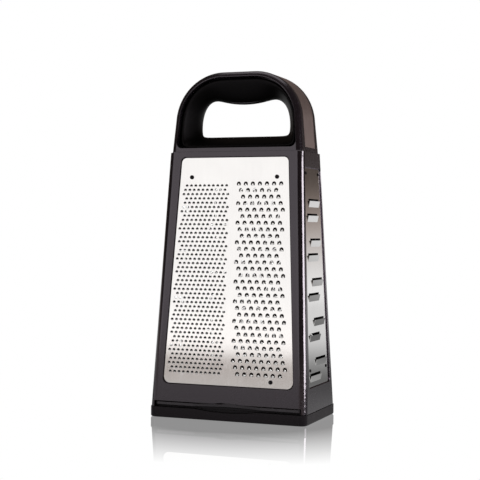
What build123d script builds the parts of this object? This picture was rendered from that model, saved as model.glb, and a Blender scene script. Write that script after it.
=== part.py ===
from build123d import *

import os
from math import hypot

os.makedirs("parts", exist_ok=True)

# Box grater, four grating sides on a tapering housing under an arched carrying handle.
# Millimetres, +Z up, origin in the middle of the base, front side towards -Y.

# Overall sizes
base_width = 146.4
base_depth = 86.4
shoulder_width = 125.8
shoulder_depth = 54.0
shoulder_height = 235.0
total_height = 306.0
body_corner = 6.0

# Cuts run past the surface that they open by this much
overrun = 12.0

# Clearances
flat_gap = 0.05
edge_play = 0.25
slide_play = 0.3

# Housing shell
wall = 2.2
web_thickness = 1.8
shoulder_seam = 0.6
seam_depth = 1.2
inner_corner = 4.0

# Windows in the housing: heights from the base, widths of the stiles beside them
front_sill = 30.8
front_head = 5.2
front_stile_low = 11.3
front_stile_high = 13.2
front_corner_low = 5.6
front_corner_high = 4.4
side_sill = 31.3
side_head = 14.5
side_stile_low = 11.5
side_stile_high = 6.2
side_corner = 3.0
window_bevel = 0.8

# Blade plates, the clamping frames behind them and the rivets through both
rim_depth = 1.0
plate_thickness = 0.5
plate_lap = 2.6
clamp_thickness = 1.6
clamp_bar = 2.2
rivet_head_radius = 1.85
rivet_head_height = 0.45
rivet_shank_radius = 1.1
rivet_tail_radius = 1.7
rivet_tail_height = 0.6
rivet_dimple_radius = 0.7
rivet_dimple_depth = 0.25
rivet_boss_radius = 3.4
small_head_radius = 1.3
front_rivet_x = 40.0
front_rivet_drop = 22.4
front_rivet_rise = 35.8
side_rivet_inset_low = 6.3
side_rivet_inset_high = 4.5
side_rivet_drop = 19.0
side_rivet_rise = 45.5
front_clamp_head = 27.0
front_clamp_sill = 39.4
side_clamp_head = 17.0
side_clamp_sill = 32.6

# Fine teeth, on the left half of the front plate
fine_first_row = 205.4
fine_last_row = 41.3
fine_rows = 44
fine_pitch = 4.2
fine_phase = 1
fine_inner_end = -5.26
fine_margin = 3.2
fine_width = 2.3
fine_height = 1.9

# Coarse teeth, on the right half of the front plate
coarse_first_row = 206.9
coarse_last_row = 41.6
coarse_rows = 30
coarse_pitch = 6.54
coarse_start = 4.8
coarse_margin = 6.1
coarse_width = 3.7
coarse_height = 3.4
coarse_tongue = 1.7
coarse_leg = 0.85

# Ribbon cuts on the right plate
ribbon_length = 28.6
ribbon_tongue = 5.4
ribbon_slit = 1.9
ribbon_lift = 1.4
ribbon_margin = 6.5
ribbon_pitch = 34.6
ribbon_rear_first = 192.0
ribbon_front_first = 179.1
ribbon_count = 5

# Slicing cuts on the left plate
slicer_length = 37.0
slicer_tongue = 11.0
slicer_slit = 3.0
slicer_lift = 2.0
slicer_pitch = 42.0
slicer_first = 186.0
slicer_count = 4

# Extra coarse teeth on the rear plate
shred_first_row = 202.0
shred_last_row = 48.0
shred_rows = 15
shred_pitch = 12.4
shred_margin = 8.0
shred_width = 6.6
shred_height = 5.6
shred_tongue = 2.6

# Foot, the frame that carries it, and the tray that slides into the frame
foot_height = 9.3
foot_side = 2.4
foot_sole = 3.0
foot_round = 1.7
base_seam = 0.4
base_rail = 9.0
channel_wall = 1.6
channel_lip = 2.6
channel_lip_thickness = 1.4
slot_height = 5.5
step_height = 1.8
step_reach = 2.8
dip_reach = 5.0
tray_thickness = 2.2
tray_floor = 1.2
tray_rim = 2.0
tray_setback = 1.6
tray_corner = 3.0
notch_half = 31.0
notch_depth = 5.5
tab_half = 7.0
tab_rise = 1.6
tab_thickness = 1.2
lens_half_low = 29.0
lens_depth_low = 2.1
lens_half_high = 12.0
lens_depth_high = 1.1

# Handle: an arched frame, a soft lining round the hand opening and a metal strip
handle_side_inset = 1.65
handle_face_inset = 0.5
handle_top_width = 110.8
arch_radius = 44.0
handle_corner = 5.5
rim_width = 4.6
foot_rim = 3.2
rim_corner = 5.0
rim_recess = 0.9
core_half = 4.0
grip_skin = 3.0
opening_half_width = 42.8
opening_sill = 250.0
opening_top = 282.4
trim_half_width = 14.0
trim_thickness = 0.8
trim_start = 3.4
screw_radius = 1.5
screw_head_radius = 2.8
screw_head_height = 1.8
screw_length = 10.0
screw_boss_radius = 3.2
screw_boss_height = 6.0
screw_x = 40.0
screw_y = 9.0

# Leans of the walls, as run over rise
side_lean = (base_width - shoulder_width) / 2 / shoulder_height
face_lean = (base_depth - shoulder_depth) / 2 / shoulder_height
side_slope = hypot(1, side_lean)
face_slope = hypot(1, face_lean)

# Heights that several pieces share
housing_low = foot_height + base_seam
housing_high = shoulder_height - shoulder_seam / 2
web_low = housing_high - web_thickness
slot_top = foot_height + slot_height
step_high = foot_height + step_height
tray_low = step_high + slide_play
tray_high = tray_low + tray_thickness
lip_low = tray_high + slide_play
lip_high = lip_low + channel_lip_thickness


def half_width(height):
    """Half the width of the tapering body at a height."""
    return base_width / 2 - side_lean * height


def half_depth(height):
    """Half the depth of the tapering body at a height."""
    return base_depth / 2 - face_lean * height


def wall_plane(turn, half_size, lean):
    """Plane on the outside of one wall: x level, y up the slope, z outwards."""
    across = Vector(1, 0, 0).rotate(Axis.Z, turn)
    outwards = Vector(0, -1, 0).rotate(Axis.Z, turn)
    return Plane(origin=outwards * half_size, x_dir=across, z_dir=outwards + Vector(0, 0, lean))


def section(height, inset, corner):
    """Level section of the tapering body, set in from its outside."""
    with BuildSketch(Plane.XY.offset(height)) as level:
        RectangleRounded(2 * (half_width(height) - inset), 2 * (half_depth(height) - inset), corner)
    return level.sketch


class Side:
    """One grating side: its plane, its window and the slope of its wall."""

    def __init__(self, turn, half_size, lean, slope, window, corners):
        self.plane = wall_plane(turn, half_size, lean)
        self.slope = slope
        self.low, self.high, self.low_half, self.high_half = window
        self.corner_low, self.corner_high = corners

    def half_at(self, height):
        """Half width of the window at a height."""
        share = (height - self.low) / (self.high - self.low)
        return self.low_half + share * (self.high_half - self.low_half)

    def draw(self, low, high, grow, radii):
        """Draw the window's shape between two heights, grown all round, in the sketch at hand."""
        low_half = self.half_at(low - grow) + grow
        high_half = self.half_at(high + grow) + grow
        corners = (
            (-low_half, (low - grow) * self.slope),
            (low_half, (low - grow) * self.slope),
            (high_half, (high + grow) * self.slope),
            (-high_half, (high + grow) * self.slope),
        )
        with BuildLine() as ring:
            FilletPolyline(*corners, radius=radii, close=True)
        make_face(ring.edges())

    def outline(self, depth, grow):
        """Sketch of the window, grown all round, at a depth behind the outside."""
        radii = (self.corner_low, self.corner_low, self.corner_high, self.corner_high)
        with BuildSketch(self.plane.offset(-depth)) as shape:
            self.draw(self.low, self.high, grow, radii)
        return shape.sketch

    def spots(self, depth, places):
        """Locations on the wall at a depth behind the outside, from (x, height) places."""
        level = self.plane.offset(-depth).location
        return [level * Location((x, height * self.slope, 0)) for x, height in places]


front_window = (
    front_sill,
    shoulder_height - front_head,
    half_width(front_sill) - front_stile_low,
    half_width(shoulder_height - front_head) - front_stile_high,
)
side_window = (
    side_sill,
    shoulder_height - side_head,
    half_depth(side_sill) - side_stile_low,
    half_depth(shoulder_height - side_head) - side_stile_high,
)
front_corners = (front_corner_low, front_corner_high)
side_corners = (side_corner, side_corner)
front = Side(0, base_depth / 2, face_lean, face_slope, front_window, front_corners)
rear = Side(180, base_depth / 2, face_lean, face_slope, front_window, front_corners)
right = Side(90, base_width / 2, side_lean, side_slope, side_window, side_corners)
left = Side(-90, base_width / 2, side_lean, side_slope, side_window, side_corners)
sides = (front, right, rear, left)


def save(piece, name):
    """Label a finished piece and write it."""
    piece.part.label = name
    export_step(piece.part, "parts/" + name + ".step")


# Sizes of the tray and of the channels that it slides in
channel_half = half_width(lip_high) - wall - edge_play
channel_depth = half_depth(lip_high) - wall - edge_play
tray_half = channel_half - channel_wall - slide_play
tray_rear = channel_depth - channel_wall - slide_play
tray_front = half_depth(tray_low) - tray_setback
slot_half = tray_half + slide_play

# Housing: one moulded shell with four windows, a closed top and the tray's slot in front
with BuildPart() as housing:
    loft([section(housing_low, 0, body_corner), section(housing_high, 0, body_corner)])
    cavity_low = section(housing_low - overrun, wall, inner_corner)
    cavity_high = section(web_low, wall, inner_corner)
    loft([cavity_low, cavity_high], mode=Mode.SUBTRACT)
    for side in sides:
        extrude(side.outline(wall + overrun, 0), amount=wall + 2 * overrun, mode=Mode.SUBTRACT)
        extrude(side.outline(rim_depth, plate_lap + edge_play), amount=-wall, mode=Mode.SUBTRACT)
        bevel = [side.outline(-window_bevel, 2 * window_bevel), side.outline(window_bevel, 0)]
        loft(bevel, mode=Mode.SUBTRACT)
    with BuildSketch(Plane.XZ):
        with BuildLine():
            Polyline(
                (-lens_half_high, slot_top),
                (-slot_half, slot_top),
                (-slot_half, housing_low - overrun),
                (slot_half, housing_low - overrun),
                (slot_half, slot_top),
                (lens_half_high, slot_top),
            )
            ThreePointArc(
                (lens_half_high, slot_top),
                (0, slot_top + lens_depth_high),
                (-lens_half_high, slot_top),
            )
        make_face()
    extrude(amount=base_depth, mode=Mode.SUBTRACT)
    with Locations(Plane.XY.offset(housing_high)):
        with GridLocations(2 * screw_x, 2 * screw_y, 2, 2):
            Hole(screw_radius + edge_play, depth=web_thickness + overrun)
save(housing, "housing")


def arch_hole(width, tall, tongue):
    """One tooth opening: an arch, over a tongue that bulges up from its foot."""
    left_end = (-width / 2, -tall / 2)
    right_end = (width / 2, -tall / 2)
    with BuildLine() as ring:
        ThreePointArc(left_end, (0, tall / 2), right_end)
        if tongue:
            ThreePointArc(right_end, (0, tongue - tall / 2), left_end)
        else:
            Line(right_end, left_end)
    return ring.wire()


def legged_hole(width, tall, tongue, leg):
    """One coarse tooth opening: an arch whose straight legs run down beside a rounded tongue."""
    half, inner = width / 2, width / 2 - leg
    foot, bend, tip = -tall / 2, tall / 2 - half, tongue - tall / 2
    with BuildLine() as ring:
        Line((-half, foot), (-half, bend))
        ThreePointArc((-half, bend), (0, tall / 2), (half, bend))
        Polyline((half, bend), (half, foot), (inner, foot), (inner, tip - inner))
        ThreePointArc((inner, tip - inner), (0, tip), (-inner, tip - inner))
        Polyline((-inner, tip - inner), (-inner, foot), (-half, foot))
    return ring.wire()


def long_hole(length, tongue, slit):
    """One long cut: the tongue's length below its edge and the slit above it."""
    with BuildLine() as ring:
        Polyline(
            (-length / 2, -tongue),
            (length / 2, -tongue),
            (length / 2, slit),
            (-length / 2, slit),
            close=True,
        )
    return ring.wire()


def round_hole(radius):
    """One rivet hole."""
    with BuildLine() as ring:
        CenterArc((0, 0), radius, 0, 360)
    return ring.wire()


def face_rivet_places():
    """Rivet places on the front and rear plates, as (x, height): both top corners and one below."""
    head = shoulder_height - front_rivet_drop
    return [(-front_rivet_x, head), (front_rivet_x, head), (front_rivet_x, front_rivet_rise)]


def side_rivet_places():
    """Rivet places on the right and left plates, as (x, height)."""
    head = shoulder_height - side_rivet_drop
    places = []
    for height, inset in ((side_rivet_rise, side_rivet_inset_low), (head, side_rivet_inset_high)):
        x = right.half_at(height) - inset
        places += [(-x, height), (x, height)]
    return places


def rows(first, last, count):
    """Heights of evenly spaced rows."""
    return [first + (last - first) * row / (count - 1) for row in range(count)]


def fine_teeth():
    """Tooth places of the fine field, each row a third of a pitch further left."""
    places = []
    for row, height in enumerate(rows(fine_first_row, fine_last_row, fine_rows)):
        x = fine_inner_end - fine_pitch / 3 * ((row + fine_phase) % 3)
        while x > fine_margin - front.half_at(height):
            places.append((x, height))
            x -= fine_pitch
    return places


def coarse_teeth():
    """Tooth places of the coarse field, each row a third of a pitch further right."""
    places = []
    for row, height in enumerate(rows(coarse_first_row, coarse_last_row, coarse_rows)):
        x = coarse_start + coarse_pitch / 3 * (row % 3)
        while x < front.half_at(height) - coarse_margin:
            places.append((x, height))
            x += coarse_pitch
    return places


def shred_teeth():
    """Tooth places of the extra coarse field, alternate rows half a pitch over."""
    places = []
    for row, height in enumerate(rows(shred_first_row, shred_last_row, shred_rows)):
        x = shred_pitch / 2 * (row % 2)
        while x < rear.half_at(height) - shred_margin:
            places += [(x, height), (-x, height)] if x > 0 else [(x, height)]
            x += shred_pitch
    return places


def ribbon_cuts():
    """Places of the ribbon cuts' edges: one column towards each side of the plate."""
    cuts = []
    for hand, first in ((1, ribbon_rear_first), (-1, ribbon_front_first)):
        for row in range(ribbon_count):
            edge = first - row * ribbon_pitch
            reach = right.half_at(edge) - ribbon_margin - ribbon_length / 2
            cuts.append((hand * reach, edge))
    return cuts


def slicer_cuts():
    """Places of the slicing cuts' edges, one above the other."""
    return [(0, slicer_first - row * slicer_pitch) for row in range(slicer_count)]


def plate_face(side, openings):
    """Flat face of a blade plate, holed by (wire, places) pairs."""
    depth = rim_depth + plate_thickness
    holes = [ring.moved(spot) for ring, places in openings for spot in side.spots(depth, places)]
    return Face(side.outline(depth, plate_lap).face().outer_wire(), holes)


def tongue_profile(side, x, edge, length, reach, lift):
    """Side view of one raised tongue: a strip that leans outwards to its cutting edge."""
    corner = Vector(x - length / 2, 0, -rim_depth - plate_thickness)
    end_plane = Plane(
        origin=side.plane.from_local_coords(corner), x_dir=side.plane.y_dir, z_dir=side.plane.x_dir
    )
    top = edge * side.slope
    foot = top - reach
    with BuildSketch(end_plane) as strip:
        with BuildLine():
            Polyline(
                (foot - plate_thickness, 0),
                (foot, 0),
                (top, lift),
                (top, lift + plate_thickness),
                (foot, plate_thickness),
                (foot - plate_thickness, plate_thickness),
                close=True,
            )
        make_face()
    return strip.sketch


rivet_hole = round_hole(rivet_shank_radius + edge_play)
face_places = face_rivet_places()
side_places = side_rivet_places()

# Front blade: fine teeth on the left, coarse teeth on the right
fine_hole = arch_hole(fine_width, fine_height, 0)
coarse_hole = legged_hole(coarse_width, coarse_height, coarse_tongue, coarse_leg)
front_openings = ((rivet_hole, face_places), (fine_hole, fine_teeth()), (coarse_hole, coarse_teeth()))
with BuildPart() as front_blade:
    extrude(plate_face(front, front_openings), amount=plate_thickness, clean=False)
save(front_blade, "front_blade")

# Rear blade: extra coarse teeth all over
shred_hole = arch_hole(shred_width, shred_height, shred_tongue)
with BuildPart() as rear_blade:
    rear_openings = ((rivet_hole, face_places), (shred_hole, shred_teeth()))
    extrude(plate_face(rear, rear_openings), amount=plate_thickness, clean=False)
save(rear_blade, "rear_blade")

# Right blade: ribbon cuts, each with a raised tongue that is sharp at its top edge
ribbon_hole = long_hole(ribbon_length, ribbon_tongue, ribbon_slit)
with BuildPart() as right_blade:
    right_openings = ((rivet_hole, side_places), (ribbon_hole, ribbon_cuts()))
    extrude(plate_face(right, right_openings), amount=plate_thickness)
    for x, edge in ribbon_cuts():
        strip = tongue_profile(right, x, edge, ribbon_length, ribbon_tongue, ribbon_lift)
        extrude(strip, amount=ribbon_length, clean=False)
save(right_blade, "right_blade")

# Left blade: slicing cuts, one above the other
slicer_hole = long_hole(slicer_length, slicer_tongue, slicer_slit)
with BuildPart() as left_blade:
    left_openings = ((rivet_hole, side_places), (slicer_hole, slicer_cuts()))
    extrude(plate_face(left, left_openings), amount=plate_thickness)
    for x, edge in slicer_cuts():
        strip = tongue_profile(left, x, edge, slicer_length, slicer_tongue, slicer_lift)
        extrude(strip, amount=slicer_length, clean=False)
save(left_blade, "left_blade")


def make_clamp(name, side, places, low, high):
    """Moulded frame that holds a plate against the housing from inside."""
    with BuildPart() as clamp:
        with BuildSketch(side.plane.offset(-rim_depth - plate_thickness - flat_gap)):
            radii = (side.corner_low, side.corner_low, side.corner_high, side.corner_high)
            side.draw(side.low, side.high, plate_lap, radii)
            with BuildSketch(mode=Mode.SUBTRACT):
                side.draw(low, high, plate_lap - clamp_bar, side.corner_high)
            for x, height in places:
                reach = side.half_at(height) + plate_lap - clamp_bar / 2 - abs(x)
                arm_middle = x + reach / 2 if x > 0 else x - reach / 2
                with Locations((x, height * side.slope)):
                    Circle(rivet_boss_radius)
                with Locations((arm_middle, height * side.slope)):
                    Rectangle(reach, 2 * rivet_boss_radius)
            with Locations(*[(x, height * side.slope) for x, height in places]):
                Circle(rivet_shank_radius + edge_play, mode=Mode.SUBTRACT)
        extrude(amount=-clamp_thickness)
    save(clamp, name)


def make_rivets(name, side, places, head_radius):
    """Rivets through plate and frame: a dimpled head outside, a spread tail inside."""
    head_low = flat_gap - rim_depth
    tail_top = -rim_depth - plate_thickness - 2 * flat_gap - clamp_thickness
    with BuildPart() as rivets:
        with BuildSketch(Plane.XZ) as profile:
            with BuildLine():
                Polyline(
                    (0, tail_top - rivet_tail_height),
                    (rivet_tail_radius, tail_top - rivet_tail_height),
                    (rivet_tail_radius, tail_top),
                    (rivet_shank_radius, tail_top),
                    (rivet_shank_radius, head_low),
                    (head_radius, head_low),
                    (head_radius, head_low + rivet_head_height),
                    (rivet_dimple_radius, head_low + rivet_head_height),
                    (rivet_dimple_radius, head_low + rivet_head_height - rivet_dimple_depth),
                    (0, head_low + rivet_head_height - rivet_dimple_depth),
                    close=True,
                )
            make_face()
        one = revolve(profile.sketch, axis=Axis.Z, mode=Mode.PRIVATE)
        add([one.moved(spot) for spot in side.spots(0, places)])
    save(rivets, name)


# Clamping frames and rivets of the four plates
face_low = front_clamp_sill
face_high = shoulder_height - front_clamp_head
side_low = side_clamp_sill
side_high = shoulder_height - side_clamp_head
make_clamp("front_clamp", front, face_places, face_low, face_high)
make_clamp("rear_clamp", rear, face_places, face_low, face_high)
make_clamp("right_clamp", right, side_places, side_low, side_high)
make_clamp("left_clamp", left, side_places, side_low, side_high)
make_rivets("front_rivets", front, face_places, rivet_head_radius)
make_rivets("rear_rivets", rear, face_places, rivet_head_radius)
make_rivets("right_rivets", right, side_places, small_head_radius)
make_rivets("left_rivets", left, side_places, small_head_radius)

# Sizes of the ring that the foot and the base frame share
frame_width = base_width - 2 * foot_side
frame_depth = base_depth - 2 * foot_side
throat_width = base_width - 2 * base_rail
throat_depth = base_depth - 2 * base_rail
step_front = throat_depth / 2 + step_reach


def finger_dip():
    """Shallow dish in the front of the foot, under the tray's front edge."""
    with BuildSketch(Plane.XZ.offset(base_depth / 2 - dip_reach)) as dip:
        with BuildLine():
            ThreePointArc(
                (-lens_half_low, foot_height),
                (0, foot_height - lens_depth_low),
                (lens_half_low, foot_height),
            )
            Polyline(
                (lens_half_low, foot_height),
                (lens_half_low, foot_height + overrun),
                (-lens_half_low, foot_height + overrun),
                (-lens_half_low, foot_height),
            )
        make_face()
    return dip.sketch


# Foot: soft ring round and under the base frame, dished in front for a finger
with BuildPart() as base_foot:
    with BuildSketch():
        RectangleRounded(base_width, base_depth, body_corner)
        RectangleRounded(throat_width, throat_depth, inner_corner, mode=Mode.SUBTRACT)
    extrude(amount=foot_height)
    fillet(base_foot.faces().sort_by(Axis.Z)[0].outer_wire().edges(), foot_round)
    with BuildSketch(Plane.XY.offset(foot_sole)):
        RectangleRounded(frame_width, frame_depth, inner_corner)
    extrude(amount=foot_height, mode=Mode.SUBTRACT)
    extrude(finger_dip(), amount=base_depth, mode=Mode.SUBTRACT)
save(base_foot, "base_foot")

# Base frame: stiff ring in the foot, a step that the tray rests on, and channels that guide it
with BuildPart() as base_frame:
    with BuildSketch(Plane.XY.offset(foot_sole + flat_gap)):
        RectangleRounded(frame_width - 2 * edge_play, frame_depth - 2 * edge_play, inner_corner)
        RectangleRounded(throat_width, throat_depth, inner_corner, mode=Mode.SUBTRACT)
    extrude(amount=foot_height - foot_sole - flat_gap)
    extrude(finger_dip(), amount=base_depth, mode=Mode.SUBTRACT)
    with BuildSketch(Plane.XY.offset(foot_height)):
        RectangleRounded(2 * channel_half, 2 * channel_depth, inner_corner)
        RectangleRounded(throat_width, throat_depth, inner_corner, mode=Mode.SUBTRACT)
        with Locations((0, -channel_depth)):
            Rectangle(
                2 * (channel_half - channel_wall),
                2 * (channel_depth - step_front),
                mode=Mode.SUBTRACT,
            )
    extrude(amount=step_height)
    with BuildSketch(Plane.XY.offset(foot_height)):
        RectangleRounded(2 * channel_half, 2 * channel_depth, inner_corner)
        with Locations((0, -channel_wall)):
            Rectangle(
                2 * (channel_half - channel_wall), 2 * channel_depth, mode=Mode.SUBTRACT
            )
    extrude(amount=lip_high - foot_height)
    with BuildSketch(Plane.XY.offset(lip_low)):
        RectangleRounded(2 * channel_half, 2 * channel_depth, inner_corner)
        with Locations((0, -channel_wall - channel_lip)):
            Rectangle(
                2 * (channel_half - channel_wall - channel_lip),
                2 * channel_depth,
                mode=Mode.SUBTRACT,
            )
    extrude(amount=channel_lip_thickness)
save(base_frame, "base_frame")

# Tray: shallow pan that closes the base and slides out through the front slot by its finger tab
tray_length = tray_rear + tray_front
pan_width = 2 * (tray_half - channel_lip - tray_rim)
pan_rear = tray_rear - channel_lip - tray_rim
pan_front = tray_front - notch_depth - tab_thickness - tray_rim
with BuildPart() as base_tray:
    with BuildSketch(Plane.XY.offset(tray_low)):
        with Locations((0, (tray_rear - tray_front) / 2)):
            RectangleRounded(2 * tray_half, tray_length, tray_corner)
        with BuildLine() as notch:
            ThreePointArc(
                (-notch_half, -tray_front), (0, notch_depth - tray_front), (notch_half, -tray_front)
            )
            Line((notch_half, -tray_front), (-notch_half, -tray_front))
        make_face(notch.edges(), mode=Mode.SUBTRACT)
    extrude(amount=tray_thickness)
    with BuildSketch(Plane.XZ.offset(tray_front - notch_depth)):
        with BuildLine():
            ThreePointArc((-tab_half, tray_high), (0, tray_high + tab_rise), (tab_half, tray_high))
            Line((tab_half, tray_high), (-tab_half, tray_high))
        make_face()
    extrude(amount=-tab_thickness)
    with BuildSketch(Plane.XY.offset(tray_low + tray_floor)):
        with Locations((0, (pan_rear - pan_front) / 2)):
            RectangleRounded(pan_width, pan_rear + pan_front, tray_corner)
    extrude(amount=tray_thickness, mode=Mode.SUBTRACT)
save(base_tray, "base_tray")

# Heights and half sizes that the handle's pieces share
handle_foot = shoulder_height + shoulder_seam / 2
handle_foot_half = half_width(handle_foot) - handle_side_inset
arch_lean = (handle_foot_half - handle_top_width / 2) / (total_height - handle_foot)
rim_low = handle_foot + foot_rim
rim_rise = total_height - rim_width - rim_low
opening_rise = opening_top - opening_sill


def arch_half(height):
    """Half the width of the handle's leaning flanks at a height."""
    return handle_foot_half - arch_lean * (height - handle_foot)


def draw_arch(inset, foot, mode=Mode.ADD, foot_corner=0):
    """Draw the handle's arch, set in all round, closed along its foot, in the sketch at hand."""
    top = total_height - inset
    low_half = arch_half(foot) - inset
    high_half = arch_half(top) - inset
    with BuildLine() as ring:
        corners = ((-low_half, foot), (-high_half, top), (high_half, top), (low_half, foot))
        if foot_corner:
            radii = (foot_corner, arch_radius - inset, arch_radius - inset, foot_corner)
            FilletPolyline(*corners, radius=radii, close=True)
        else:
            FilletPolyline(*corners, radius=arch_radius - inset)
            Line(corners[-1], corners[0])
    make_face(ring.edges(), mode=mode)


def side_wedge(inset):
    """Sketch of the handle's leaning front and rear, seen from the side."""
    low = half_depth(handle_foot) - handle_face_inset - inset
    high = half_depth(total_height + overrun) - handle_face_inset - inset
    with BuildSketch(Plane.YZ) as shape:
        with BuildLine():
            Polyline(
                (-low, handle_foot),
                (low, handle_foot),
                (high, total_height + overrun),
                (-high, total_height + overrun),
                close=True,
            )
        make_face()
    return shape.sketch


# Half outlines from beside the crown round to the sill, as shares of half width and of rise:
# the hand opening at mid depth, and the inside of the rim that the lining flares out to
opening_shares = (
    (0.28, 0.875),
    (0.48, 0.935),
    (0.67, 1.0),
    (0.82, 0.925),
    (0.92, 0.77),
    (0.975, 0.58),
    (1.0, 0.34),
    (0.995, 0.13),
    (0.965, 0.04),
    (0.89, 0.0),
)
rim_shares = (
    (0.22, 1.0),
    (0.38, 0.99),
    (0.54, 0.945),
    (0.69, 0.865),
    (0.81, 0.755),
    (0.9, 0.625),
    (0.955, 0.46),
    (0.975, 0.2),
    (0.962, 0.04),
    (0.9, 0.0),
)
crown_share = 0.845
# How far out the lining has flared at shares of the depth
flare_shares = ((0.0, 0.0), (0.22, 0.1), (0.42, 0.3), (0.7, 0.63), (1.0, 1.0))


def opening_section(depth_share, flare, grow):
    """Section of the hand opening on a plane that leans as the handle's face does there."""
    lean = depth_share * face_lean
    plane = wall_plane(0, depth_share * (base_depth / 2 - handle_face_inset), lean)
    slope = hypot(1, lean)
    points = []
    for near, far in zip(opening_shares, rim_shares):
        near_x = near[0] * (opening_half_width + grow)
        near_z = opening_sill - grow + near[1] * (opening_rise + 2 * grow)
        far_z = rim_low + far[1] * rim_rise
        x = near_x + flare * (far[0] * (arch_half(rim_low) - rim_width) - near_x)
        points.append((x, (near_z + flare * (far_z - near_z)) * slope))
    near_crown = opening_sill - grow + crown_share * (opening_rise + 2 * grow)
    crown = near_crown + flare * (rim_low + rim_rise - near_crown)
    other_side = [(-x, z) for x, z in reversed(points)]
    with BuildSketch(plane) as shape:
        with BuildLine():
            Spline(*other_side, (0, crown * slope), *points)
            Line(points[-1], other_side[0])
        make_face()
    return shape.sketch


# Handle frame: hard arch with a deep rim, screw bosses and a core web inside the soft lining
with BuildPart() as handle_frame:
    with BuildSketch(Plane.XZ):
        draw_arch(0, handle_foot)
    extrude(amount=base_depth, both=True)
    extrude(side_wedge(0), amount=base_width, both=True, mode=Mode.INTERSECT)
    upper_edges = handle_frame.edges().filter_by(lambda edge: edge.center().Z > rim_low)
    fillet(upper_edges, handle_corner)
    for hand in (-1, 1):
        with BuildSketch(Plane.XZ.offset(hand * core_half)):
            draw_arch(rim_width, rim_low, foot_corner=rim_corner)
        extrude(amount=hand * base_depth, mode=Mode.SUBTRACT)
    extrude(opening_section(0, 0, grip_skin), amount=base_depth, both=True, mode=Mode.SUBTRACT)
    with BuildSketch(Plane.XY.offset(rim_low)):
        with GridLocations(2 * screw_x, 2 * screw_y, 2, 2):
            Circle(screw_boss_radius)
    extrude(amount=screw_boss_height)
    with BuildSketch(Plane.XY.offset(housing_high + flat_gap)):
        Rectangle(
            2 * (handle_foot_half - seam_depth),
            2 * (half_depth(handle_foot) - handle_face_inset - seam_depth),
        )
    extrude(amount=shoulder_seam)
    with BuildSketch(Plane.XY.offset(housing_high)):
        with GridLocations(2 * screw_x, 2 * screw_y, 2, 2):
            Circle(screw_radius + flat_gap)
    extrude(amount=shoulder_seam + foot_rim + screw_boss_height - flat_gap, mode=Mode.SUBTRACT)
    with BuildSketch(Plane.XZ):
        draw_arch(-overrun, handle_foot + trim_start)
        draw_arch(trim_thickness + flat_gap, handle_foot + trim_start, mode=Mode.SUBTRACT)
    extrude(amount=trim_half_width, both=True, mode=Mode.SUBTRACT)
save(handle_frame, "handle_frame")

# Handle lining: soft moulding that flares from the hand opening out to the rim
with BuildPart() as handle_grip:
    with BuildSketch(Plane.XZ):
        draw_arch(rim_width + flat_gap, rim_low + flat_gap, foot_corner=rim_corner)
    extrude(amount=base_depth, both=True)
    extrude(side_wedge(rim_recess), amount=base_width, both=True, mode=Mode.INTERSECT)
    add(handle_frame.part, mode=Mode.SUBTRACT)
    with BuildSketch(Plane.XY.offset(rim_low)):
        with GridLocations(2 * screw_x, 2 * screw_y, 2, 2):
            Circle(screw_boss_radius)
    extrude(amount=screw_boss_height, mode=Mode.SUBTRACT)
    flares = [(-depth, flare) for depth, flare in reversed(flare_shares[1:])] + list(flare_shares)
    loft([opening_section(depth, flare, 0) for depth, flare in flares], mode=Mode.SUBTRACT)
save(handle_grip, "handle_grip")

# Handle trim: metal strip let into the outside of the arch
with BuildPart() as handle_trim:
    with BuildSketch(Plane.XZ):
        draw_arch(0, handle_foot + trim_start + edge_play)
        draw_arch(trim_thickness, handle_foot + trim_start + edge_play, mode=Mode.SUBTRACT)
    extrude(amount=trim_half_width - edge_play, both=True)
save(handle_trim, "handle_trim")

# Handle screws: from inside the housing's closed top up into the frame's bosses
with BuildPart() as handle_screws:
    with BuildSketch(Plane.XY.offset(web_low - flat_gap)):
        with GridLocations(2 * screw_x, 2 * screw_y, 2, 2):
            Circle(screw_head_radius)
    extrude(amount=-screw_head_height)
    with BuildSketch(Plane.XY.offset(web_low - screw_head_height)):
        with GridLocations(2 * screw_x, 2 * screw_y, 2, 2):
            Circle(screw_radius)
    extrude(amount=screw_head_height + screw_length)
save(handle_screws, "handle_screws")
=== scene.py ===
from math import cos, pi, sin

import bmesh
import bpy
from mathutils import Matrix, Vector


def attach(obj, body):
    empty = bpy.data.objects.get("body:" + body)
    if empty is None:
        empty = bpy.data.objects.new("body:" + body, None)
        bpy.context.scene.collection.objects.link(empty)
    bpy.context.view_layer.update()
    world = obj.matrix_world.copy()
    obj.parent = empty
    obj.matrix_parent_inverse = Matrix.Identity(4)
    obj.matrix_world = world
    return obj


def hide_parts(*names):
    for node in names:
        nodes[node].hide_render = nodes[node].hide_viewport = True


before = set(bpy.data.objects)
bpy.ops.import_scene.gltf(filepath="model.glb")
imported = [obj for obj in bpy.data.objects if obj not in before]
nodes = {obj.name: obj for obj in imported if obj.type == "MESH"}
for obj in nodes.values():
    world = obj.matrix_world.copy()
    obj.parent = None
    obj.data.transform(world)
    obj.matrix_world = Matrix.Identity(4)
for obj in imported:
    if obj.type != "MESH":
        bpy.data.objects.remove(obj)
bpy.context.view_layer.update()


# The foot is a ring of soft rubber, moulded round and under the stiff frame of the base.
# It carries the whole grater and keeps it from sliding on the board.


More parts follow.
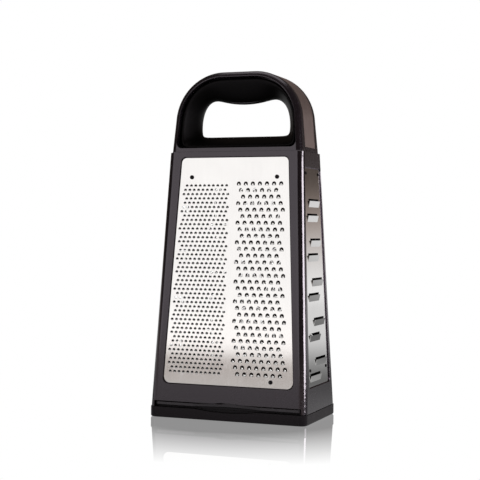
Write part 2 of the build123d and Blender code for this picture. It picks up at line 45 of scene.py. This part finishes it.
class Shade:
    """A value in a material's nodes, which sums and products use like a number."""

    def __init__(self, tree, socket=None):
        self.tree = tree
        self.socket = socket

    def node(self, kind, settings, inputs, output=0):
        """Add one node: its settings first, then the values or links of its sockets."""
        made = self.tree.nodes.new(kind)
        for name, value in settings.items():
            if name == "stops":
                stops = made.color_ramp.elements
                for place, colour in value[2:]:
                    stops.new(place).color = colour
                for stop, (place, colour) in zip(stops, sorted(value)):
                    stop.position = place
                    stop.color = colour
            else:
                setattr(made, name, value)
        for name, value in inputs.items():
            if isinstance(value, Shade):
                self.tree.links.new(value.socket, made.inputs[name])
            else:
                made.inputs[name].default_value = value
        return Shade(self.tree, made.outputs[output])

    def math(self, operation, *values):
        return self.node("ShaderNodeMath", {"operation": operation}, dict(enumerate(values)))

    def __add__(self, other):
        return self.math("ADD", self, other)

    __radd__ = __add__

    def __sub__(self, other):
        return self.math("SUBTRACT", self, other)

    def __rsub__(self, other):
        return self.math("SUBTRACT", other, self)

    def __mul__(self, other):
        return self.math("MULTIPLY", self, other)

    __rmul__ = __mul__

    def between(self, low, high):
        """0 below low and 1 above high, with a soft step between them."""
        limits = {"Value": self, "From Min": low, "From Max": high}
        return self.node("ShaderNodeMapRange", {"interpolation_type": "SMOOTHSTEP"}, limits)

    def tint(self, low, high):
        """A colour that goes from low to high with the value."""
        ends = {"Factor": self, 6: low, 7: high}
        return self.node("ShaderNodeMix", {"data_type": "RGBA"}, ends, 2)

    def into(self, shader, name):
        self.tree.links.new(self.socket, shader.inputs[name])


def finish(name, roughness=0.5, metallic=0.0):
    """Start a material: it, its main shader and the place on the piece."""
    made = bpy.data.materials.new(name)
    made.use_nodes = True
    shader = made.node_tree.nodes["Principled BSDF"]
    shader.inputs["Roughness"].default_value = roughness
    shader.inputs["Metallic"].default_value = metallic
    return made, shader, Shade(made.node_tree).node("ShaderNodeTexCoord", {}, {}, "Object")


def grain(spot, size, stretch=(1, 1, 1), detail=2.0):
    """Noise from 0 to 1 with spots of a size in metres, drawn out by a stretch along each axis."""
    scale = [1 / part for part in stretch]
    laid = spot.node("ShaderNodeMapping", {}, {"Vector": spot, "Scale": scale})
    spread = {"Vector": laid, "Scale": 1 / size, "Detail": detail}
    return spot.node("ShaderNodeTexNoise", {}, spread)


def relief(spot, height, depth, strength=0.5):
    """Normal of a surface that stands up to a depth in metres where height is 1."""
    sizes = {"Height": height, "Distance": depth, "Strength": strength}
    return spot.node("ShaderNodeBump", {}, sizes, "Normal")


def grey(level, warmth=0.0):
    """A near-grey colour: warmth above 0 leans it to red, below 0 to blue."""
    return (level * (1 + warmth), level, level * (1 - warmth), 1.0)


# The body tapers from the base to the shoulder: its sizes at both, and the leans of its walls
body_width, body_depth, body_shoulder = 0.1464, 0.0864, 0.235
shoulder_width, shoulder_depth = 0.1258, 0.054
side_lean = (body_width - shoulder_width) / 2 / body_shoulder
face_lean = (body_depth - shoulder_depth) / 2 / body_shoulder


def skin_depths(spot):
    """How deep a place lies behind the planes of the housing's sides and faces, in metres."""
    x, y, z = [spot.node("ShaderNodeSeparateXYZ", {}, {0: spot}, axis) for axis in ("X", "Y", "Z")]
    side = body_width / 2 - z * side_lean - x.math("ABSOLUTE", x)
    face = body_depth / 2 - z * face_lean - y.math("ABSOLUTE", y)
    return side, face


def dress(material, *names):
    """Give CAD nodes a finish."""
    for name in names:
        slots = nodes[name].data.materials
        slots.clear()
        slots.append(material)


def moulded(
    name, dark, light, roughness, grain_size, grain_depth, gloss=0.5, polish=0.0, rim_shade=0.0
):
    """Finish of a black moulding: fine spark grain, faint flow marks and rubbed, paler patches.

    Its long corners are smoother than its flats by the polish. A share of painted shade, a
    metallic share on the near-black colour, blackens the small bevels round its windows and along
    its seams, but not those of the handle above."""
    made, shader, spot = finish(name)
    shader.inputs["Specular IOR Level"].default_value = gloss
    shader.inputs["Specular Tint"].default_value = (1.0, 0.9, 1.0, 1.0)
    fine = grain(spot, grain_size)
    flow = grain(spot, 0.03, (1, 1, 3))
    rubbed = grain(spot, 0.009, (1, 1, 2), 4.0).between(0.52, 0.75)
    (flow * 0.6 + rubbed * 0.4).tint(dark, light).into(shader, "Base Color")
    side, face = skin_depths(spot)
    corner = (1.0 - side.between(0.005, 0.0075)) * (1.0 - face.between(0.0045, 0.0065))
    worn = (fine * 0.06 + flow * 0.06 - rubbed * 0.05) * (1.0 - corner * 0.6)
    (roughness + worn - corner * polish).into(shader, "Roughness")
    # Painted shade: the bevels round the windows and along the seams below the handle are made
    # black by a metallic share on the near-black colour.
    if rim_shade:
        skin = side.math("MINIMUM", side, face)
        flat = side.math("MAXIMUM", side, face).between(0.0058, 0.0062)
        height = spot.node("ShaderNodeSeparateXYZ", {}, {0: spot}, "Z")
        below_seam = 1.0 - height.between(body_shoulder + 0.0002, body_shoulder + 0.0003)
        cut = skin.between(0.00005, 0.0002) * (1.0 - skin.between(0.0009, 0.0012))
        bevel_shade = cut * (flat * below_seam)
        (bevel_shade * rim_shade).into(shader, "Metallic")
    relief(spot, fine, grain_depth).into(shader, "Normal")
    return made


rubber_dark, rubber_light = (0.0045, 0.0035, 0.0042, 1.0), (0.0075, 0.006, 0.007, 1.0)
foot_rubber = moulded("foot_rubber", rubber_dark, rubber_light, 0.42, 0.0006, 0.000008, 0.18, 0.3)
dress(foot_rubber, "base_foot")


# The base frame is a stiff black moulding inside the foot, with channels along its sides.
# The tray is a shallow pan that slides in them and comes out through the slot in front.

base_plastic = moulded("base_plastic", grey(0.003), grey(0.005), 0.5, 0.0004, 0.00004, 0.25)
tray_plastic = moulded("tray_plastic", grey(0.014), grey(0.02), 0.32, 0.0004, 0.00003)
dress(base_plastic, "base_frame")
dress(tray_plastic, "base_tray")


# The housing is one black shell of hard plastic that tapers to the handle, with a window in each
# side. Its outside is satin and its long corners are smoother than its flats. The small bevels
# round the windows carry painted shade: a metallic share on the near-black colour turns them black.

shell_dark, shell_light = (0.0042, 0.003, 0.0042, 1.0), (0.0065, 0.0048, 0.0065, 1.0)
shell_plastic = moulded(
    "shell_plastic", shell_dark, shell_light, 0.2, 0.0008, 0.000004, 0.6, polish=0.13, rim_shade=1.0
)
dress(shell_plastic, "housing")


# The blades are thin plates of stainless sheet, etched and formed. They lie in the windows,
# held from behind by moulded frames, with small black rivets through both.

plate_depth = 0.001
steel_satin, steel_shader, steel_spot = finish("steel_satin", 0.2, 1.0)
rolled = grain(steel_spot, 0.0011, (1, 1, 26), 3.0)
cloudy = grain(steel_spot, 0.022, detail=3.0)
handled = grain(steel_spot, 0.006, detail=4.0).between(0.55, 0.8)
side_skin, face_skin = skin_depths(steel_spot)
skin = side_skin.math("MINIMUM", side_skin, face_skin)
# Painted shade: places deeper behind the housing's planes than the plate's face, such as the
# sheet's back and the walls of its openings, are darkened almost to black and made rougher.
inside = skin.between(plate_depth + 0.00015, plate_depth + 0.0003)
steel_tone_and_shade = (0.84 + rolled * 0.06 + cloudy * 0.08) * (1.0 - inside * 0.97)
steel_tone_and_shade.tint(grey(0.0), grey(0.68, 0.012)).into(steel_shader, "Base Color")
steel_rough = 0.07 + rolled * 0.03 + cloudy * 0.03 + handled * 0.03 + inside * 0.5
steel_rough.into(steel_shader, "Roughness")
relief(steel_spot, rolled, 0.000004, 0.3).into(steel_shader, "Normal")
dress(steel_satin, "front_blade", "rear_blade", "right_blade", "left_blade")

# The teeth are punched out of the sheet: each is a small scoop that rises out of the plate below
# its opening and ends in a curved, sharp upper edge. Fine ones fill the left half of the front,
# coarse ones the right half, and extra coarse ones the rear.

face_sill, face_head = 0.0308, body_shoulder - 0.0052
stile_low, stile_high = 0.0113, 0.0132


def face_half(height):
    """Half the width of the front and rear windows at a height."""
    low = body_width / 2 - side_lean * face_sill - stile_low
    high = body_width / 2 - side_lean * face_head - stile_high
    return low + (high - low) * (height - face_sill) / (face_head - face_sill)


def rows(first, last, count):
    """Heights of evenly spaced rows of teeth."""
    return [first + (last - first) * row / (count - 1) for row in range(count)]


def scoop(width, foot, top, lift, gauge, crown):
    """Mesh of one tooth: a strip of sheet that bulges out and up to its curved edge."""
    mesh = bmesh.new()
    bmesh.ops.create_grid(mesh, x_segments=6, y_segments=3, size=1.0)
    for vert in mesh.verts:
        across, up = vert.co.x, (vert.co.y + 1) / 2
        dome = 1 - across * across
        vert.co.x = across * width / 2 * (1 - 0.1 * up)
        vert.co.y = foot + (top - foot + crown * dome) * up
        vert.co.z = lift * sin(up * pi / 2) * dome ** 0.6 - gauge * 0.3
    bmesh.ops.solidify(mesh, geom=mesh.faces[:], thickness=gauge)
    bmesh.ops.recalc_face_normals(mesh, faces=mesh.faces[:])
    made = bpy.data.meshes.new("scoop")
    mesh.to_mesh(made)
    mesh.free()
    return made


def sow(name, tooth, places, rear=False):
    """Set one tooth into the front or rear plate at each (x, height) place."""
    normal = Vector((0.0, -1.0, face_lean)).normalized()
    slope = Vector((0.0, face_lean, 1.0)).normalized()
    mesh = bmesh.new()
    for x, height in places:
        spot = Vector((x, face_lean * height - body_depth / 2, height)) - normal * plate_depth
        start = len(mesh.verts)
        mesh.from_mesh(tooth)
        mesh.verts.ensure_lookup_table()
        facing = Matrix((Vector((1.0, 0.0, 0.0)), slope, normal)).transposed().to_4x4()
        placed = Matrix.Translation(spot) @ facing
        bmesh.ops.transform(mesh, matrix=placed, verts=mesh.verts[start:])
    if rear:
        bmesh.ops.rotate(mesh, verts=mesh.verts, matrix=Matrix.Rotation(pi, 3, "Z"))
    for face in mesh.faces:
        face.smooth = True
    piece = bpy.data.objects.new(name, bpy.data.meshes.new(name))
    mesh.to_mesh(piece.data)
    mesh.free()
    bpy.context.scene.collection.objects.link(piece)
    piece.data.materials.append(steel_satin)
    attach(piece, "root")
    return piece


fine_pitch, fine_start, fine_margin, fine_stagger = 0.0042, 0.00526, 0.0032, 0.0014
coarse_pitch, coarse_start, coarse_margin, coarse_stagger = 0.00654, 0.0048, 0.0061, 0.00218
shred_pitch, shred_margin, shred_stagger = 0.0124, 0.008, 0.0062
fine_places = []
for row, height in enumerate(rows(0.2054, 0.0413, 44)):
    x = -fine_start - fine_stagger * ((row + 1) % 3)
    while x > fine_margin - face_half(height):
        fine_places.append((x, height))
        x -= fine_pitch
coarse_places = []
for row, height in enumerate(rows(0.2069, 0.0416, 30)):
    x = coarse_start + coarse_stagger * (row % 3)
    while x < face_half(height) - coarse_margin:
        coarse_places.append((x, height))
        x += coarse_pitch
shred_places = []
for row, height in enumerate(rows(0.202, 0.048, 15)):
    x = shred_stagger * (row % 2)
    while x < face_half(height) - shred_margin:
        shred_places += [(x, height), (-x, height)] if x > 0 else [(x, height)]
        x += shred_pitch
fine_tooth = scoop(width=0.0019, foot=-0.0015, top=-0.0009, lift=0.0003, gauge=0.0002, crown=0.0003)
coarse_tooth = scoop(
    width=0.0022, foot=-0.0023, top=-0.0008, lift=0.0004, gauge=0.00025, crown=0.0011
)
shred_tooth = scoop(width=0.0062, foot=-0.0039, top=0.0003, lift=0.0019, gauge=0.0004, crown=0.0019)
sow("fine_teeth", fine_tooth, fine_places)
sow("coarse_teeth", coarse_tooth, coarse_places)
sow("shred_teeth", shred_tooth, shred_places, rear=True)

rivet_nylon = moulded("rivet_nylon", grey(0.002), grey(0.004), 0.5, 0.0004, 0.00002, 0.15)
dress(rivet_nylon, "front_rivets", "rear_rivets", "right_rivets", "left_rivets")
dress(base_plastic, "front_clamp", "rear_clamp", "right_clamp", "left_clamp")


# The handle is a hard arched frame, screwed on from inside the shell. A soft lining flares from
# the hand opening out to its rim, and a brushed metal strip is let into the outside of the arch.

dress(shell_plastic, "handle_frame")
grip_rubber = moulded("grip_rubber", grey(0.001, 0.1), grey(0.002, 0.1), 0.4, 0.0005, 0.00003, 0.07)

# Half outlines from beside the crown round to the middle of the sill, as shares of half width and
# of height: the hand opening at mid depth, and the rim that the lining flares out to.
opening_shares = (
    (0.28, 0.875), (0.48, 0.935), (0.67, 1.0), (0.82, 0.925), (0.92, 0.77), (0.975, 0.58),
    (1.0, 0.34), (0.995, 0.13), (0.965, 0.04), (0.89, 0.0), (0.62, 0.0), (0.3, 0.0),
)
rim_shares = (
    (0.22, 1.0), (0.38, 0.99), (0.54, 0.945), (0.69, 0.865), (0.81, 0.755), (0.9, 0.625),
    (0.955, 0.46), (0.975, 0.2), (0.962, 0.04), (0.9, 0.0), (0.62, 0.0), (0.3, 0.0),
)
opening_half, opening_sill, opening_top, crown_share = 0.0428, 0.25, 0.2824, 0.845
rim_half, rim_low, rim_high = 0.05635, 0.2385, 0.3014
rim_recess, web_half, grip_skin = 0.0009, 0.00405, 0.00295


def lining_point(step, flare, grow):
    """Point of the lining's outline, counted from the crown: x and height at a flare."""
    half = len(opening_shares)
    hand = 1 if step <= half else -1
    step = step if step <= half else 2 * half + 2 - step
    if step == 0:
        near, far = (0.0, crown_share), (0.0, 1.0)
    elif step > half:
        near, far = (0.0, 0.0), (0.0, 0.0)
    else:
        near, far = opening_shares[step - 1], rim_shares[step - 1]
    near_x = near[0] * (opening_half + grow)
    near_z = opening_sill - grow + near[1] * (opening_top - opening_sill + 2 * grow)
    far_z = rim_low + far[1] * (rim_high - rim_low)
    x = near_x + flare * (far[0] * rim_half - near_x)
    return hand * x, near_z + flare * (far_z - near_z)


def lining_depth(height, share):
    """Distance from the middle plane to the handle's leaning face, times a share."""
    return share * (body_depth / 2 - face_lean * height - 0.0005)


# Rings across the lining, from mid depth out to the rim of one face, back along the web to mid
# depth behind the skin, and on round the other face: depth share and flare of those that show
flares = ((0.0, 0.0), (0.22, 0.1), (0.42, 0.3), (0.7, 0.63))
mesh = bmesh.new()
around = 2 * len(opening_shares) + 2
across = 14
half_way, rim_ring = across // 2, len(flares)
bmesh.ops.create_grid(mesh, x_segments=around, y_segments=across, size=1.0)
for vert in mesh.verts:
    step = round((vert.co.x + 1) / 2 * around) % around
    ring = round((vert.co.y + 1) / 2 * across) % across
    hand = -1 if ring < half_way else 1
    from_middle = min(ring, across - ring)
    if from_middle < rim_ring:
        share, flare = flares[from_middle]
        x, z = lining_point(step, flare, 0.0)
        y = lining_depth(z, share)
    elif from_middle == rim_ring:
        x, z = lining_point(step, 1.0, 0.0)
        y = lining_depth(z, 1.0) - rim_recess
    elif from_middle == rim_ring + 1:
        x, z = lining_point(step, 1.0, 0.0)
        y = web_half
    else:
        x, z = lining_point(step, 0.0, grip_skin)
        y = web_half if ring != half_way else 0.0
    vert.co = (x, hand * y, z)
bmesh.ops.remove_doubles(mesh, verts=mesh.verts, dist=0.00001)
bmesh.ops.recalc_face_normals(mesh, faces=mesh.faces)
for face in mesh.faces:
    face.smooth = True
hand_lining = bpy.data.objects.new("hand_lining", bpy.data.meshes.new("hand_lining"))
mesh.to_mesh(hand_lining.data)
mesh.free()
bpy.context.scene.collection.objects.link(hand_lining)
hand_lining.data.materials.append(grip_rubber)
smoother = hand_lining.modifiers.new("smooth", "SUBSURF")
smoother.levels = smoother.render_levels = 2
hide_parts("handle_grip")
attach(hand_lining, "root")

trim_brushed, trim_shader, trim_spot = finish("trim_brushed", 0.35, 1.0)
strokes = grain(trim_spot, 0.0004, (40, 1, 40), 2.0)
trim_dark, trim_light = (0.35, 0.28, 0.265, 1.0), (0.5, 0.4, 0.385, 1.0)
strokes.tint(trim_dark, trim_light).into(trim_shader, "Base Color")
(0.28 + strokes * 0.16).into(trim_shader, "Roughness")
relief(trim_spot, strokes, 0.00002).into(trim_shader, "Normal")
dress(trim_brushed, "handle_trim")

screw_zinc, screw_shader, screw_spot = finish("screw_zinc", 0.3, 1.0)
turned = grain(screw_spot, 0.0008)
turned.tint(grey(0.45), grey(0.6)).into(screw_shader, "Base Color")
(0.2 + turned * 0.15).into(screw_shader, "Roughness")
dress(screw_zinc, "handle_screws")


# The setting: a white gloss table that mirrors the foot of the grater and fades into a white
# backdrop, a large soft box in front, a strip at the right side, one overhead, and a long lens.
# In the grater's own gloss the table shows a painted reflection: to glossy rays it glows white in
# front and darker close by at the back.

table_half = 3.0
mesh = bmesh.new()
bmesh.ops.create_grid(mesh, x_segments=1, y_segments=1, size=table_half)
table = bpy.data.objects.new("table", bpy.data.meshes.new("table"))
mesh.to_mesh(table.data)
mesh.free()
bpy.context.scene.collection.objects.link(table)
table_white, table_shader, table_spot = finish("table_white", 0.6)
table_shader.inputs["Base Color"].default_value = grey(0.86)
length = {"operation": "LENGTH"}
distance = table_spot.node("ShaderNodeVectorMath", length, {0: table_spot}, "Value")
seen = table_spot.node("ShaderNodeLightPath", {}, {}, "Is Camera Ray")
limits = {"Value": distance, "From Min": 0.098, "From Max": 0.235, "To Min": 0.73, "To Max": 0.0}
mirrored = table_spot.node("ShaderNodeMapRange", {}, limits)
glow = table_spot.node("ShaderNodeEmission", {}, {"Color": grey(1.0), "Strength": 1.0}, "Emission")
mirror = table_spot.node("ShaderNodeBsdfGlossy", {}, {"Color": grey(1.0), "Roughness": 0.0}, "BSDF")
mirroring = table_spot.node("ShaderNodeMixShader", {}, {0: mirrored, 1: glow, 2: mirror})
plain = Shade(table_spot.tree, table_shader.outputs[0])
# Painted reflection: glossy rays see the table as a glow, its level set by where they land.
gleam = table_spot.node("ShaderNodeLightPath", {}, {}, "Is Glossy Ray")
backward = table_spot.node("ShaderNodeSeparateXYZ", {}, {0: table_spot}, "Y")
front = 1.0 - backward.between(-0.15, -0.07)
back_level = 0.47 - distance.between(0.1, 0.4) * 0.35 + distance.between(0.2, 1.3) * 0.8
white_share = (back_level * (1.0 - front) + front * 0.9).tint(grey(0.0), grey(1.0))
lit = {"Color": white_share, "Strength": 1.0}
sheen = table_spot.node("ShaderNodeEmission", {}, lit, "Emission")
hazy = table_spot.node("ShaderNodeMixShader", {}, {0: gleam, 1: plain, 2: sheen})
table_look = table_spot.node("ShaderNodeMixShader", {}, {0: seen, 1: hazy, 2: mirroring})
table_look.into(table_spot.tree.nodes["Material Output"], "Surface")
table.data.materials.append(table_white)

world = bpy.data.worlds.new("studio")
bpy.context.scene.world = world
world.use_nodes = True
sky = Shade(world.node_tree)
backdrop = world.node_tree.nodes["Background"]
direct = sky.node("ShaderNodeLightPath", {}, {}, "Is Camera Ray")
singular = sky.node("ShaderNodeLightPath", {}, {}, "Is Singular Ray")
white = direct.math("MAXIMUM", direct, singular)
toward = sky.node("ShaderNodeTexCoord", {}, {}, "Generated")
climb = sky.node("ShaderNodeSeparateXYZ", {}, {0: toward}, "Z")
behind = sky.node("ShaderNodeSeparateXYZ", {}, {0: toward}, "Y").between(-0.3, 0.5)
horizon = 0.87 + behind * 0.28
room = 0.1 + (horizon - 0.1) * (1.0 - climb.between(-0.03, 0.075))
(room + white * (1.0 - room)).into(backdrop, "Strength")
dim_tint = (1.0, 0.8, 0.7, 1.0)
brightness = white * 2.0 + room * (1.0 - white)
brightness.between(0.1, 1.2).tint(dim_tint, grey(1.0)).into(backdrop, "Color")


def lamp(name, place, aim, size, level):
    """A soft box that shines from a place to an aim: its size in metres and how bright it looks."""
    light = bpy.data.lights.new(name, "AREA")
    light.shape = "RECTANGLE"
    light.size, light.size_y = size
    light.energy = level * pi * size[0] * size[1]
    made = bpy.data.objects.new(name, light)
    made.location = place
    made.rotation_euler = (Vector(aim) - Vector(place)).to_track_quat("-Z", "Y").to_euler()
    made.visible_camera = False
    bpy.context.scene.collection.objects.link(made)


lamp("front_box", (-0.466, -1.214, 0.65), (0.0, 0.0, 0.65), (1.2, 1.12), 1.4)
lamp("side_strip", (1.05, 0.0, 0.22), (0.0, 0.0, 0.22), (0.6, 0.4), 17.0)
lamp("top_box", (0.0, 0.1, 1.2), (0.0, 0.0, 0.15), (0.8, 0.8), 1.5)

view_turn = 0.3648
view_distance = 1.09408
view_height = 0.16658
view_aim = Vector((-0.004457, 0.0, 0.15711))
view_roll = 0.0088
camera_data = bpy.data.cameras.new("camera")
camera_data.sensor_width = 36.0
camera_data.lens = 91.39
camera = bpy.data.objects.new("camera", camera_data)
seat = Vector((view_distance * sin(view_turn), -view_distance * cos(view_turn), view_height))
ahead = (view_aim - seat).normalized()
level_right = ahead.cross(Vector((0, 0, 1))).normalized()
level_up = level_right.cross(ahead)
right_hand = cos(view_roll) * level_right + sin(view_roll) * level_up
overhead = cos(view_roll) * level_up - sin(view_roll) * level_right
facing = Matrix((right_hand, overhead, -ahead)).transposed().to_4x4()
camera.matrix_world = Matrix.Translation(seat) @ facing
bpy.context.scene.collection.objects.link(camera)
bpy.context.scene.camera = camera
bpy.context.scene.view_settings.view_transform = "Standard"
